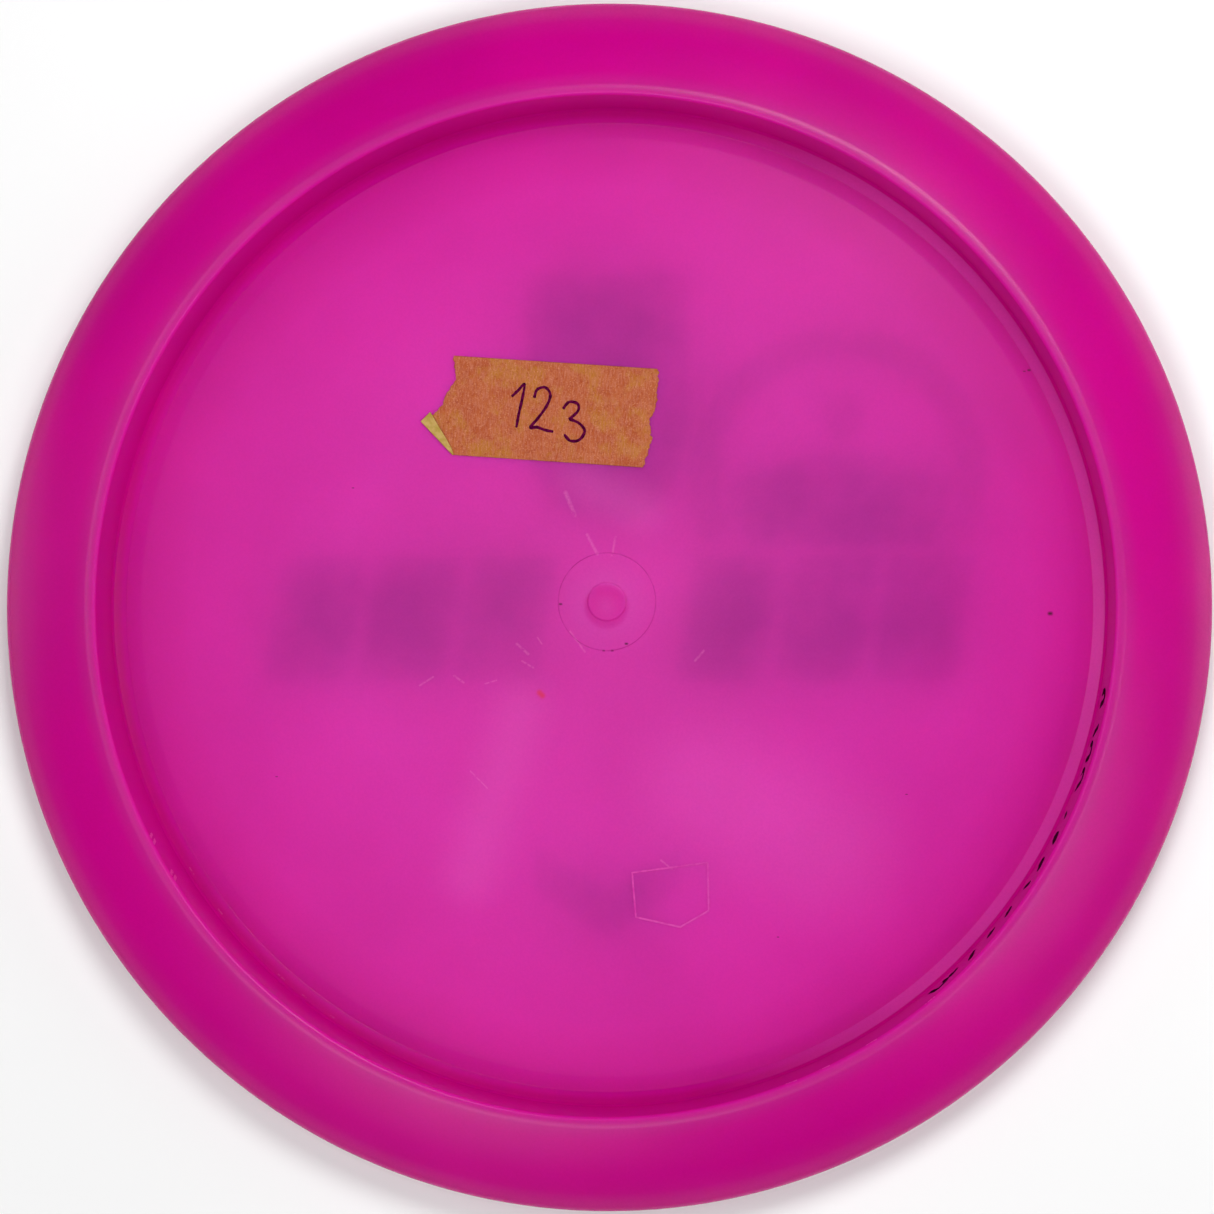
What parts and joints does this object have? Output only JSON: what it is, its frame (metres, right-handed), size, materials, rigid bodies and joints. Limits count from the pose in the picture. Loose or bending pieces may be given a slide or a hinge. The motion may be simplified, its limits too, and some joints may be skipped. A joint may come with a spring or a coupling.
{
  "type": "golf flying disc",
  "caption": "Translucent pink golf flying disc, underside up: thin flight plate in a wide wing-shaped rim, with a torn tape label inside and a foil stamp outside.",
  "frame": {"origin": "on the disc's axis, at the height of the flat ring that the disc rests on when it lies on its flight plate", "axes": "+Z out of the open underside along the disc's axis; +X and +Y across the disc, +Y towards the tape label"},
  "size_m": [0.211, 0.211, 0.015],
  "materials": {
    "disc_plastic": "translucent moulded polyurethane, satin with light scuffs",
    "tape_paper": "matt creped masking paper, mottled orange",
    "stamp_foil": "thin blue-violet hot-stamped foil",
    "pen_ink": "dark violet felt-pen ink"
  },
  "bodies": {
    "root": {"disc_body": "disc_plastic", "tape_label": "tape_paper", "foil_arch": "stamp_foil", "foil_sun": "stamp_foil", "foil_hill": "stamp_foil", "foil_shield": "stamp_foil", "foil_chevron": "stamp_foil", "foil_bar_left_1": "stamp_foil", "foil_bar_left_2": "stamp_foil", "foil_bar_left_3": "stamp_foil", "foil_bar_right_1": "stamp_foil", "foil_bar_right_2": "stamp_foil", "foil_bar_right_3": "stamp_foil"}
  },
  "joints": []
}
